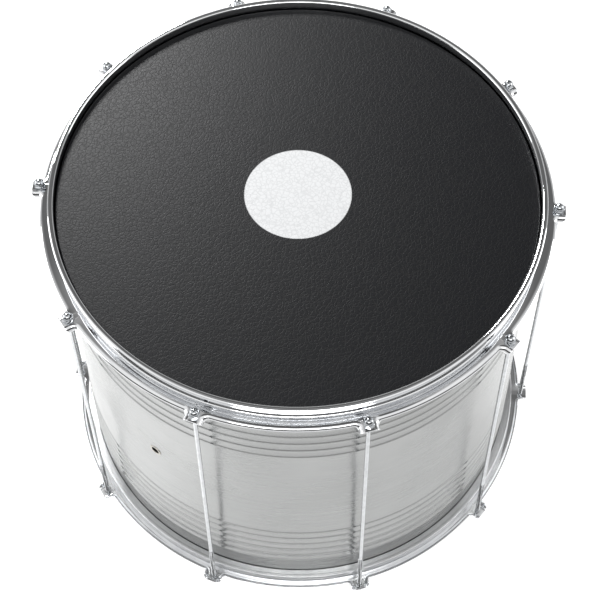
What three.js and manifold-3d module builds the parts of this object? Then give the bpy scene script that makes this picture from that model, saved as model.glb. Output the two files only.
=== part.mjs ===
// Surdo: a large two-headed samba bass drum, standing upright on its lower hoop.
// Millimetres, +Z up. The origin is on the drum's axis, on the floor that it stands on.
// Ten tension rods tie two pressed steel hoops together. Each hoop bears on a flesh hoop,
// which draws a head down over the edge of a ribbed aluminium shell.

import * as THREE from 'three';
import { mergeVertices } from 'three/addons/utils/BufferGeometryUtils.js';
import Module from 'manifold-3d';

const wasm = await Module();
wasm.setup();

// Driving sizes: a shell 24 inches across and 20 inches deep
const shellRadius = 304.8;
const shellHeight = 508;
const shellWall = 1.2;

// Round work: every large circle has the same facets, with a corner at each lug
const lugCount = 10;
const facetsPerLug = 4;
const facets = lugCount * facetsPerLug;
const filletSteps = 4;
const rodFacets = 8;
const earHoleFacets = 8;
const domeFacets = 10;
const ventFacets = 10;
const lugStep = 2 * Math.PI / lugCount;

// Clearances and cuts
const seatGap = 0.3;            // between pieces that touch
const threadGap = 0.05;         // between a rod's thread and the flats of a nut's bore
const overrun = 5;              // how far a cutting solid passes what it cuts

// Ribs rolled into the shell, in one group near each end
const ribCount = 6;
const ribPitch = 18;
const ribWidth = 6;
const ribHeight = 1.2;
const topRibInset = 37;         // shell's top edge to the first rib
const bottomRibInset = 60;      // shell's bottom edge to the first rib

// Vent eyelet
const ventAngle = THREE.MathUtils.degToRad(-124.3);
const ventRise = 272;           // above the shell's bottom edge
const ventBore = 5.5;           // radius of the air hole
const ventBarrelWall = 0.6;
const ventFlangeReach = 3.2;    // flange beyond the barrel
const ventFlangeThickness = 0.8;

// Heads
const skinThickness = 1.2;
const headDrop = 13;            // hoop's rim down to the playing surface
const skinBend = 1.7;           // corner of the skin over the shell's edge
const hemHeight = 10.3;         // glued hem in the flesh hoop's channel
const hemWidth = 6.1;

// Flesh hoops
const fleshGap = 1.8;           // shell to flesh hoop
const fleshWall = 1.6;
const fleshFoot = 2.4;          // floor of the channel
const fleshStep = 0.8;          // step in the channel's closed side
const fleshFlange = 3.6;        // width of the outer part of that side

// Counter hoops, pressed from one thickness of sheet
const hoopSheet = 1.6;
const hoopCollarGap = 1.1;      // collar of the head to the hoop's wall
const rimWidth = 6.9;           // turned-out rim, with the wall
const rimEdgeWidth = 1.7;       // part of the rim that falls away
const rimEdgeFall = 1;
const rimBend = 1.6;
const ledgeDepth = 23.5;        // rim down to the ledge's upper side
const ledgeWidth = 13.7;        // hoop's wall to the ledge's corner
const ledgeFillet = 3.5;
const lipReach = 4.8;           // sloping lip, outwards
const lipDrop = 3.7;            // sloping lip, downwards

// Ears of the hoops
const rodReach = 7.8;           // ledge's corner to the rod's axis
const earFront = 9;             // rod's axis to the ear's open front
const earHalfWidth = 7.4;
const earFillet = 10;
const earLipReach = 5.4;        // lip along an ear, outwards
const earLipDrop = 8;           // lip along an ear, downwards
const earSetBack = 5;           // how far the lip's open front falls back on its way down
const earHoleGap = 0.4;         // rod to the edge of its hole

// Tension rods
const threadRadius = 3.175;
const shankRadius = 2.75;
const upperThread = 14;         // thread that shows under an upper ear
const lowerThread = 88;         // thread that shows above a lower ear
const rodChamfer = 0.7;

// Cap nuts
const nutAcrossFlats = 12.7;
const nutHexHeight = 7;
const nutDomeRadius = 5.2;
const shoulderRiseShare = 0.3;  // of the dome's rise, up to which its side stands upright
const crownRiseShare = 0.8;     // of the dome's rise, at the corner below its top
const crownRadiusShare = 0.74;  // of the dome's radius, at that corner
const nutHeight = 12.7;
const nutBoreDepth = 9.6;
const rodEndGap = 0.7;          // rod's end to the bottom of the bore

// Radii that follow from the shell outwards
const collarInner = shellRadius + seatGap;
const collarOuter = collarInner + skinThickness;
const fleshInner = shellRadius + fleshGap;
const hemInner = fleshInner + fleshWall + seatGap;
const hemOuter = hemInner + hemWidth;
const fleshOuter = hemOuter + seatGap + fleshWall;
const hoopInner = collarOuter + hoopCollarGap;
const hoopWallOuter = hoopInner + hoopSheet;
const ledgeCorner = hoopWallOuter + ledgeWidth;
const rodCircle = ledgeCorner + rodReach;
const threadedHole = (threadRadius + threadGap) / Math.cos(Math.PI / rodFacets);

// Heights below the rim of a hoop, the same on both sides of the drum
const skinUnder = headDrop + skinThickness;
const shellEdge = skinUnder + seatGap;
const ledgeUnder = ledgeDepth + hoopSheet;
const fleshTop = ledgeUnder + seatGap;
const foldUnder = fleshTop + skinThickness;
const hemEnd = fleshTop + hemHeight;
const fleshEnd = hemEnd + seatGap + fleshFoot;
const nutSeat = ledgeDepth - seatGap;
const overallHeight = shellHeight + 2 * shellEdge;

// Materials, one for each finish
function metal(color, roughness) {
  return new THREE.MeshStandardMaterial({ color, roughness, metalness: 1 });
}
const brushedAluminium = metal(0xc9cacc, 0.38);
const drawnAluminium = metal(0xdfe0e1, 0.25);
const chromedSteel = metal(0xe3e4e6, 0.08);
const nickelledSteel = metal(0xcfd0d2, 0.2);
const syntheticLeather = new THREE.MeshStandardMaterial({ color: 0x303133, roughness: 0.55, metalness: 0 });

// Closed, welded triangles with only their positions
function weld(geometry) {
  geometry.deleteAttribute('normal');
  geometry.deleteAttribute('uv');
  const welded = mergeVertices(geometry);
  const corners = welded.index.array;
  const kept = [];
  for (let i = 0; i < corners.length; i += 3) {
    const [a, b, c] = corners.slice(i, i + 3);
    if (a !== b && b !== c && c !== a) kept.push(a, b, c);
  }
  welded.setIndex(kept);
  return welded;
}

function toSolid(geometry) {
  const welded = weld(geometry);
  return new wasm.Manifold(new wasm.Mesh({
    numProp: 3,
    vertProperties: new Float32Array(welded.attributes.position.array),
    triVerts: new Uint32Array(welded.index.array),
  }));
}

function toGeometry(solid) {
  const mesh = solid.getMesh();
  const geometry = new THREE.BufferGeometry();
  geometry.setAttribute('position', new THREE.BufferAttribute(mesh.vertProperties, 3));
  geometry.setIndex(new THREE.BufferAttribute(mesh.triVerts, 1));
  return geometry;
}

// A profile of [radius, height] points turned about Z, with a corner at azimuth 0
function revolve(profile, segments = facets) {
  const points = profile.map(([radius, height]) => new THREE.Vector2(radius, height));
  return new THREE.LatheGeometry(points, segments).rotateX(Math.PI / 2).rotateZ(Math.PI / 2);
}

// A closed profile gets its first point again at its end
function revolveRing(profile, segments = facets) {
  return revolve([...profile, profile[0]], segments);
}

function disc(radius, low, high, segments = facets) {
  return revolve([[0, low], [radius, low], [radius, high], [0, high]], segments);
}

function arcPoints(centreRadius, centreHeight, radius, fromAngle, toAngle, steps) {
  const points = [];
  for (let i = 0; i <= steps; i += 1) {
    const angle = fromAngle + (toAngle - fromAngle) * i / steps;
    points.push([centreRadius + radius * Math.cos(angle), centreHeight + radius * Math.sin(angle)]);
  }
  return points;
}

// Shell: a tube with ridges rolled round it, pierced for the vent
function ribPoints(height) {
  return [
    [shellRadius, height - ribWidth / 2],
    [shellRadius + ribHeight, height],
    [shellRadius, height + ribWidth / 2],
  ];
}

function ribHeights() {
  const bottom = shellEdge;
  const top = shellEdge + shellHeight;
  const heights = [];
  for (let i = 0; i < ribCount; i += 1) {
    heights.push(bottom + bottomRibInset + i * ribPitch);
    heights.push(top - topRibInset - i * ribPitch);
  }
  return heights.sort((a, b) => a - b);
}

function ventDirection(geometry) {
  return geometry.rotateY(Math.PI / 2).rotateZ(ventAngle).translate(0, 0, shellEdge + ventRise);
}

function shell() {
  const bottom = shellEdge;
  const top = shellEdge + shellHeight;
  const tube = toSolid(revolveRing([
    [shellRadius - shellWall, bottom],
    [shellRadius, bottom],
    ...ribHeights().flatMap(ribPoints),
    [shellRadius, top],
    [shellRadius - shellWall, top],
  ]));
  const hole = ventBore + ventBarrelWall + seatGap;
  const drill = toSolid(ventDirection(
    disc(hole, shellRadius - shellWall - overrun, shellRadius + overrun, ventFacets)));
  return toGeometry(tube.subtract(drill));
}

// Vent eyelet: a barrel through the wall with a flange turned over on each side of it
function ventEyelet() {
  const flatness = Math.cos(Math.PI / facets);
  const barrel = ventBore + ventBarrelWall;
  const flange = barrel + ventFlangeReach;
  const outside = shellRadius + seatGap;
  const inside = (shellRadius - shellWall) * flatness - seatGap;
  return weld(ventDirection(revolveRing([
    [ventBore, inside - ventFlangeThickness],
    [flange, inside - ventFlangeThickness],
    [flange, inside],
    [barrel, inside],
    [barrel, outside],
    [flange, outside],
    [flange - ventFlangeThickness, outside + ventFlangeThickness],
    [ventBore, outside + ventFlangeThickness],
  ], ventFacets)));
}

// Head, drawn for the upper side: skin, collar past the shell, fold over the channel's
// inner wall, and the glued hem inside the channel
function head() {
  return weld(revolve([
    [0, -skinUnder],
    [collarInner, -skinUnder],
    [collarInner, -foldUnder],
    [hemInner, -foldUnder],
    [hemInner, -hemEnd],
    [hemOuter, -hemEnd],
    [hemOuter, -fleshTop],
    [collarOuter, -fleshTop],
    [collarOuter, -headDrop - skinBend],
    [collarOuter - skinBend, -headDrop],
    [0, -headDrop],
  ]));
}

// Flesh hoop: a channel open towards the playing side, with a step in its closed side
function fleshHoop() {
  const slotInner = fleshInner + fleshWall;
  const slotOuter = fleshOuter - fleshWall;
  const slotFloor = -hemEnd - seatGap;
  const innerWallTop = -foldUnder - seatGap;
  const step = fleshOuter - fleshFlange;
  return weld(revolveRing([
    [fleshInner, -fleshEnd + fleshStep],
    [step - fleshStep, -fleshEnd + fleshStep],
    [step, -fleshEnd],
    [fleshOuter, -fleshEnd],
    [fleshOuter, -fleshTop],
    [slotOuter, -fleshTop],
    [slotOuter, slotFloor],
    [slotInner, slotFloor],
    [slotInner, innerWallTop],
    [fleshInner, innerWallTop],
  ]));
}

// Edge of the hoop's ledge at one place: its corner in plan, the way out from there, and the
// lip, which grows from its size on the ring to its size on an ear
function ledgeStation(corner, out, growth) {
  const reach = THREE.MathUtils.lerp(lipReach, earLipReach, growth);
  const drop = THREE.MathUtils.lerp(lipDrop, earLipDrop, growth);
  return { corner, out, reach, drop };
}

// One side of an ear: a filleted root on the ring, then the flank, which runs past the front
function earSide() {
  const rootAngle = Math.asin((earHalfWidth + earFillet) / (ledgeCorner + earFillet));
  const centre = new THREE.Vector2(
    (ledgeCorner + earFillet) * Math.cos(rootAngle), -earHalfWidth - earFillet);
  const side = [];
  for (let k = 0; k <= filletSteps; k += 1) {
    const growth = k / filletSteps;
    const angle = THREE.MathUtils.lerp(Math.PI - rootAngle, Math.PI / 2, growth);
    const out = new THREE.Vector2(-Math.cos(angle), -Math.sin(angle));
    side.push(ledgeStation(centre.clone().addScaledVector(out, -earFillet), out, growth));
  }
  const front = new THREE.Vector2(rodCircle + earFront + overrun, -earHalfWidth);
  side.push(ledgeStation(front, new THREE.Vector2(0, -1), 1));
  return side;
}

function mirrored({ corner, out, reach, drop }) {
  const across = (vector) => new THREE.Vector2(vector.x, -vector.y);
  return { corner: across(corner), out: across(out), reach, drop };
}

// An ear, closed by a nose that is trimmed off later, and the facets up to the next ear
function lugStations() {
  const side = earSide();
  const nose = new THREE.Vector2(rodCircle + earFront + overrun + earHalfWidth, 0);
  const stations = [
    ...side,
    ledgeStation(nose, new THREE.Vector2(1, 0), 1),
    ...side.map(mirrored).reverse(),
  ];
  for (let k = 1; k < facetsPerLug; k += 1) {
    const turn = k * lugStep / facetsPerLug;
    const out = new THREE.Vector2(Math.cos(turn), Math.sin(turn));
    stations.push(ledgeStation(out.clone().multiplyScalar(ledgeCorner), out, 0));
  }
  return stations;
}

// Section of the ledge at a station: one thickness of sheet, out to the lip's edge and back
function ledgeSection({ corner, out, reach, drop }, turn) {
  const slope = Math.atan2(drop, reach);
  const inner = corner.clone().setLength(hoopInner - overrun);
  const past = (distance) => corner.clone().addScaledVector(out, distance);
  return [
    [inner, -ledgeUnder],
    [past(-hoopSheet * Math.tan(slope / 2)), -ledgeUnder],
    [past(reach - hoopSheet * Math.sin(slope)), -ledgeDepth - drop - hoopSheet * Math.cos(slope)],
    [past(reach), -ledgeDepth - drop],
    [corner, -ledgeDepth],
    [inner, -ledgeDepth],
  ].map(([place, height]) => {
    const turned = place.clone().rotateAround(new THREE.Vector2(), turn);
    return [turned.x, turned.y, height];
  });
}

// A ring of sections, each joined to the next
function loft(sections) {
  const count = sections[0].length;
  const corners = [];
  for (let i = 0; i < sections.length; i += 1) {
    const here = i * count;
    const ahead = (i + 1) % sections.length * count;
    for (let k = 0; k < count; k += 1) {
      const next = (k + 1) % count;
      corners.push(here + k, ahead + k, ahead + next, here + k, ahead + next, here + next);
    }
  }
  const geometry = new THREE.BufferGeometry();
  geometry.setAttribute('position', new THREE.Float32BufferAttribute(sections.flat(2), 3));
  geometry.setIndex(corners);
  return geometry;
}

function ledge() {
  const sections = [];
  for (let lug = 0; lug < lugCount; lug += 1) {
    for (const station of lugStations()) sections.push(ledgeSection(station, lug * lugStep));
  }
  return toSolid(loft(sections));
}

// Wall and turned-out rim, on a root that the ledge takes in
function hoopWall() {
  const rimOuter = hoopInner + rimWidth;
  const bendHeight = -hoopSheet - rimBend;
  const root = -ledgeDepth - hoopSheet / 2;
  return toSolid(revolveRing([
    [hoopInner - overrun, root],
    [hoopWallOuter + ledgeFillet, root],
    ...arcPoints(hoopWallOuter + ledgeFillet, -ledgeDepth + ledgeFillet, ledgeFillet,
      1.5 * Math.PI, Math.PI, 2),
    ...arcPoints(hoopWallOuter + rimBend, bendHeight, rimBend, Math.PI, Math.PI / 2, 2),
    [rimOuter, -rimEdgeFall - hoopSheet],
    [rimOuter, -rimEdgeFall],
    [rimOuter - rimEdgeWidth, 0],
    [hoopInner - overrun, 0],
  ]));
}

// Ears are cut open by a prism with one face at each lug, which leans in beside the lips
function earTrim() {
  const flatness = Math.cos(lugStep / 2);
  const face = rodCircle + earFront;
  const lipEnd = -ledgeUnder - earLipDrop;
  return toSolid(revolve([
    [0, lipEnd],
    [(face - earSetBack) / flatness, lipEnd],
    [face / flatness, -ledgeDepth],
    [face / flatness, overrun],
    [0, overrun],
  ], lugCount).rotateZ(lugStep / 2));
}

// Counter hoop, drawn for the upper side with its rim at height 0
function counterHoop() {
  const earHole = (threadRadius + earHoleGap) / Math.cos(Math.PI / earHoleFacets);
  let hoop = ledge().add(hoopWall());
  hoop = hoop.subtract(toSolid(disc(hoopInner, -ledgeUnder - overrun, overrun)));
  for (let lug = 0; lug < lugCount; lug += 1) {
    const drill = disc(earHole, -ledgeUnder - overrun, -ledgeDepth + overrun, earHoleFacets);
    drill.translate(rodCircle, 0, 0).rotateZ(lug * lugStep);
    hoop = hoop.subtract(toSolid(drill));
  }
  return toGeometry(hoop.intersect(earTrim()));
}

// Tension rod: a shank between two rolled threads, which stand a little proud of it
function tensionRod() {
  const reach = nutBoreDepth - rodEndGap;
  const low = nutSeat - reach;
  const high = overallHeight - nutSeat + reach;
  const lowShank = ledgeUnder + lowerThread;
  const highShank = overallHeight - ledgeUnder - upperThread;
  const run = threadRadius - shankRadius;
  return weld(revolve([
    [0, low],
    [threadRadius - rodChamfer, low],
    [threadRadius, low + rodChamfer],
    [threadRadius, lowShank - run],
    [shankRadius, lowShank],
    [shankRadius, highShank],
    [threadRadius, highShank + run],
    [threadRadius, high - rodChamfer],
    [threadRadius - rodChamfer, high],
    [0, high],
  ], rodFacets));
}

// Cap nut, drawn with its seat at height 0: a hexagon, a dome and a blind bore
function capNut() {
  const corner = nutAcrossFlats / 2 / Math.cos(Math.PI / 6);
  const hexagon = toSolid(disc(corner, 0, nutHexHeight, 6).rotateZ(Math.PI / 6));
  const domeRise = nutHeight - nutHexHeight;
  const dome = toSolid(revolve([
    [0, nutHexHeight / 2],
    [nutDomeRadius, nutHexHeight / 2],
    [nutDomeRadius, nutHexHeight + domeRise * shoulderRiseShare],
    [nutDomeRadius * crownRadiusShare, nutHexHeight + domeRise * crownRiseShare],
    [0, nutHeight],
  ], domeFacets));
  const bore = toSolid(disc(threadedHole, -overrun, nutBoreDepth, rodFacets));
  return toGeometry(hexagon.add(dome).subtract(bore));
}

// Assembly
const surdo = new THREE.Group();

function piece(name, geometry, material, parent = surdo) {
  const mesh = new THREE.Mesh(geometry, material);
  mesh.name = name;
  mesh.geometry.computeVertexNormals();
  parent.add(mesh);
  return mesh;
}

// The two ends of the drum: what is drawn for the upper side, and its twin turned over
const upperEnd = new THREE.Group();
upperEnd.position.z = overallHeight;
const lowerEnd = new THREE.Group();
lowerEnd.rotation.x = Math.PI;
surdo.add(upperEnd, lowerEnd);

piece('shell', shell(), brushedAluminium);
piece('vent_eyelet', ventEyelet(), nickelledSteel);
for (const [side, end] of [['top', upperEnd], ['bottom', lowerEnd]]) {
  piece(`${side}_head`, head(), syntheticLeather, end);
  piece(`${side}_flesh_hoop`, fleshHoop(), drawnAluminium, end);
  piece(`${side}_hoop`, counterHoop(), chromedSteel, end);
}

for (let lug = 0; lug < lugCount; lug += 1) {
  const number = String(lug + 1).padStart(2, '0');
  const station = new THREE.Group();
  station.rotation.z = lug * lugStep;
  surdo.add(station);
  const rod = piece(`tension_rod_${number}`, tensionRod(), chromedSteel, station);
  rod.position.x = rodCircle;
  const topNut = piece(`top_nut_${number}`, capNut(), chromedSteel, station);
  topNut.position.set(rodCircle, 0, overallHeight - nutSeat);
  const bottomNut = piece(`bottom_nut_${number}`, capNut(), chromedSteel, station);
  bottomNut.position.set(rodCircle, 0, nutSeat);
  bottomNut.rotation.x = Math.PI;
}

export default surdo;
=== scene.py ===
# %% [markdown]
# The surdo is the deep bass drum of a samba band: a ribbed aluminium shell with a skin on each
# end, and ten long rods that pull two pressed steel hoops towards each other. Its working model,
# with every piece at its real size, is loaded first and never changed. Everything below dresses
# that model: each plain solid is replaced by a finely made piece in the same place, and each
# piece gets the finish of the real material.

# %% Load the working model
import math

import bpy
from mathutils import Matrix, Vector


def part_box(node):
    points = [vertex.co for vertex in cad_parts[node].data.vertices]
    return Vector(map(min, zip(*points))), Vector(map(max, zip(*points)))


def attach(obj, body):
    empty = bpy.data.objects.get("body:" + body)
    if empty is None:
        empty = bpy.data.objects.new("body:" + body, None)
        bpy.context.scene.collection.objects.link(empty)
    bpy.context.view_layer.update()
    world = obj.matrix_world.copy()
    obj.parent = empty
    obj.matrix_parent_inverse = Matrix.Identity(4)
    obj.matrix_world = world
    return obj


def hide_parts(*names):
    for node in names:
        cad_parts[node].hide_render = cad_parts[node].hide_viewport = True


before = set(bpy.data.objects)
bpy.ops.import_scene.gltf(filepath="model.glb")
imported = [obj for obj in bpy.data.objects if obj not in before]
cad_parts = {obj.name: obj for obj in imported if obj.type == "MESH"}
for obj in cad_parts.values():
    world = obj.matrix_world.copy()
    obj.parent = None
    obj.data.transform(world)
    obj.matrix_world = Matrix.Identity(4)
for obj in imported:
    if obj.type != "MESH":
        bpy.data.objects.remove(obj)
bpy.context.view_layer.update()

# %% [markdown]
# The places of the pieces are read from the working model, so nothing has to be fitted by eye.
# The drum stands on the origin with its axis on Z. Both ends of the drum are alike, so each
# end's pieces are drawn once, with heights measured from the hoop's rim, and then put in place
# by one of two matrices: lifted for the playing end, turned over for the lower end.

# %% Sizes from the working model
MM = 0.001
LUGS = 10
LUG_STEP = math.tau / LUGS
RIB_HEIGHT = 1.2 * MM
SHELL_LOW, SHELL_HIGH = (corner.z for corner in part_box("shell"))
SHELL_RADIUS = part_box("shell")[1].x - RIB_HEIGHT
OVERALL_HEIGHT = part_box("top_hoop")[1].z
ROD_CIRCLE = sum(corner.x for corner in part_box("tension_rod_01")) / 2
ENDS = {
    "top": Matrix.Translation((0, 0, OVERALL_HEIGHT)),
    "bottom": Matrix.Rotation(math.pi, 4, "X"),
}
print("shell radius %.1f mm, height %.1f mm" % (SHELL_RADIUS / MM, (SHELL_HIGH - SHELL_LOW) / MM))

# %% [markdown]
# Finishes are node trees. One small function adds a node: it takes the node's kind, the values
# or links for its sockets, and any settings of the node itself. Colours are written as they are
# seen on a screen, so another function turns that sRGB code into the linear light that Blender
# works with.

# %% Colour and node helpers
def srgb(code):
    channels = [int(code[i:i + 2], 16) / 255 for i in (1, 3, 5)]
    linear = [c / 12.92 if c <= 0.04045 else ((c + 0.055) / 1.055) ** 2.4 for c in channels]
    return (*linear, 1.0)


def add_node(tree, kind, inputs=None, **settings):
    node = tree.nodes.new(kind)
    for setting, value in settings.items():
        setattr(node, setting, value)
    for socket, value in (inputs or {}).items():
        if isinstance(value, bpy.types.NodeSocket):
            tree.links.new(value, node.inputs[socket])
        else:
            node.inputs[socket].default_value = value
    return node


# A Mix node keeps a pair of inputs for each kind of data, and its colours are inputs 6 and 7
MIX_COLOURS = (6, 7)
MIXED_COLOUR = 2


def mix_colours(tree, factor, low, high):
    node = add_node(tree, "ShaderNodeMix", {0: factor, MIX_COLOURS[0]: low, MIX_COLOURS[1]: high},
                    data_type="RGBA")
    return node.outputs[MIXED_COLOUR]


def new_finish(name):
    material = bpy.data.materials.new(name)
    material.use_nodes = True
    material.node_tree.nodes.clear()
    return material, material.node_tree


def shade(tree, shader):
    add_node(tree, "ShaderNodeOutputMaterial", {"Surface": shader.outputs["BSDF"]})


print("mid grey in linear light:", round(srgb("#808080")[0], 3))

# %% [markdown]
# The shell is aluminium sheet, rolled into a tube and brushed while it turned, so its scratches
# run round the drum. Scratches blur a reflection across them and leave it crisp along them, so
# the rods are mirrored in it as long upright streaks. That is an anisotropic metal: the tangent
# runs round the axis, and a quarter turn puts the blur upright. The scratches are a noise that
# is stretched round the drum. Real ones are about 0.1 mm wide, too fine to show from a step
# away, so they are drawn coarser.

# %% Brushed aluminium
SCRATCH_WIDTH = 1.4 * MM     # real ones are about 0.1 mm, drawn coarser so that they show
SCRATCH_LENGTH = 260 * MM
SCRATCH_DEPTH = 0.05 * MM
CLOUD_SIZE = 90 * MM         # soft clouds where the brush pressed unevenly


def brushed_aluminium():
    material, tree = new_finish("aluminium, brushed round the drum")
    place = add_node(tree, "ShaderNodeTexCoord").outputs["Object"]
    stretched = add_node(tree, "ShaderNodeMapping", {
        "Vector": place,
        "Scale": (1 / SCRATCH_LENGTH, 1 / SCRATCH_LENGTH, 1 / SCRATCH_WIDTH),
    })
    scratches = add_node(tree, "ShaderNodeTexNoise", {
        "Vector": stretched.outputs["Vector"],
        "Scale": 1.0,
        "Detail": 4.0,
        "Roughness": 0.65,
    })
    clouds = add_node(tree, "ShaderNodeTexNoise", {
        "Vector": place,
        "Scale": 1 / CLOUD_SIZE,
        "Detail": 2.0,
    })
    tone = add_node(tree, "ShaderNodeMapRange", {
        "Value": scratches.outputs["Fac"],
        "From Min": 0.3,
        "From Max": 0.7,
    })
    both = add_node(tree, "ShaderNodeMath", {
        0: scratches.outputs["Fac"],
        1: clouds.outputs["Fac"],
    }, operation="ADD")
    roughness = add_node(tree, "ShaderNodeMapRange", {
        "Value": both.outputs["Value"],
        "From Min": 0.6,
        "From Max": 1.4,
        "To Min": 0.2,
        "To Max": 0.32,
    })
    bump = add_node(tree, "ShaderNodeBump", {
        "Height": scratches.outputs["Fac"],
        "Strength": 0.08,
        "Distance": SCRATCH_DEPTH,
    })
    around = add_node(tree, "ShaderNodeTangent", direction_type="RADIAL", axis="Z")
    colour = mix_colours(tree, tone.outputs["Result"], srgb("#9e9f9f"), srgb("#afb0af"))
    shade(tree, add_node(tree, "ShaderNodeBsdfPrincipled", {
        "Base Color": colour,
        "Metallic": 1.0,
        "Roughness": roughness.outputs["Result"],
        "Anisotropic": 0.7,
        "Anisotropic Rotation": 0.25,
        "Normal": bump.outputs["Normal"],
        "Tangent": around.outputs["Tangent"],
    }))
    return material


shell_finish = brushed_aluminium()
print("finish:", shell_finish.name)

# %% [markdown]
# The other metals are plainer. The flesh hoops are drawn aluminium channel, soft and slightly
# satin. The hoops, rods and nuts are polished steel under chrome, so nearly a mirror, with a
# faint haze where buffing and fingers left it. The vent eyelet is nickelled, a warmer and duller
# mirror. One function makes them all, from a dark and a light colour, a range of roughness, the
# size of the cloudy patches between them, and the height of the ripples in the metal.

# %% Plated and drawn metals
RIPPLE_SIZE = 14 * MM        # slow waves that pressing and polishing leave in a sheet


def plated_metal(name, dark, light, glossiest, dullest, patch, ripple):
    material, tree = new_finish(name)
    place = add_node(tree, "ShaderNodeTexCoord").outputs["Object"]
    haze = add_node(tree, "ShaderNodeTexNoise", {
        "Vector": place,
        "Scale": 1 / patch,
        "Detail": 5.0,
        "Roughness": 0.6,
    })
    haze_share = add_node(tree, "ShaderNodeMapRange", {
        "Value": haze.outputs["Fac"],
        "From Min": 0.35,
        "From Max": 0.7,
    })
    roughness = add_node(tree, "ShaderNodeMapRange", {
        "Value": haze_share.outputs["Result"],
        "To Min": glossiest,
        "To Max": dullest,
    })
    waves = add_node(tree, "ShaderNodeTexNoise", {
        "Vector": place,
        "Scale": 1 / RIPPLE_SIZE,
        "Detail": 1.0,
    })
    bump = add_node(tree, "ShaderNodeBump", {
        "Height": waves.outputs["Fac"],
        "Strength": 1.0,
        "Distance": ripple,
    })
    colour = mix_colours(tree, haze_share.outputs["Result"], srgb(light), srgb(dark))
    shade(tree, add_node(tree, "ShaderNodeBsdfPrincipled", {
        "Base Color": colour,
        "Metallic": 1.0,
        "Roughness": roughness.outputs["Result"],
        "Normal": bump.outputs["Normal"],
    }))
    return material


hoop_finish = plated_metal("steel, pressed and chromed", dark="#dedfe1", light="#e6e7e8",
                           glossiest=0.03, dullest=0.06, patch=22 * MM, ripple=0.0015 * MM)
rod_finish = plated_metal("steel rod, rolled thread, chromed", dark="#c2c4c6", light="#d3d5d7",
                          glossiest=0.08, dullest=0.18, patch=9 * MM, ripple=0.004 * MM)
nut_finish = plated_metal("steel, turned and chromed", dark="#989b9e", light="#bcbfc2",
                          glossiest=0.05, dullest=0.12, patch=6 * MM, ripple=0.004 * MM)
flesh_finish = plated_metal("aluminium channel, drawn, satin", dark="#d8d9db", light="#e6e7e8",
                            glossiest=0.28, dullest=0.4, patch=18 * MM, ripple=0.01 * MM)
eyelet_finish = plated_metal("steel, nickelled", dark="#96938c", light="#b3b0a8",
                             glossiest=0.14, dullest=0.26, patch=4 * MM, ripple=0.01 * MM)
print("from the glossiest:", hoop_finish.name, "/", nut_finish.name, "/", rod_finish.name)
print("to the dullest:", eyelet_finish.name, "/", flesh_finish.name)

# %% [markdown]
# The heads are synthetic leather: fabric under a black plastic skin that is embossed with the
# creases of real hide. The creases are the borders between cells, so they come from a Voronoi
# texture, bent by a noise so that they don't look like tiles, with a finer pebble inside the
# cells. The surface is half matt, and catches a soft grey sheen from a lamp far behind it. The
# playing head has a white patch printed in its middle: the same creased skin under white ink.

# %% Synthetic leather
CREASE_SPACING = 5.5 * MM
CREASE_WANDER = 1.6 * CREASE_SPACING    # how far the noise bends the creases
CREASE_WIDTH_SHARE = 0.16    # of the spacing, from the middle of a crease to its shoulder
PEBBLE_SIZE = 1.6 * MM       # real pebbles are about 0.8 mm, drawn coarser so that they show
PEBBLE_DEPTH_SHARE = 0.35    # of the depth of a crease
HIDE_FOLD = 38 * MM          # wide unevenness of the stretched skin
FOLD_DEPTH_SHARE = 2.0       # of the depth of a crease, spread over the width of a fold
CREASE_DEPTH = 0.12 * MM
PATCH_RADIUS = 68 * MM
INK_EDGE = 0.5 * MM


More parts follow.
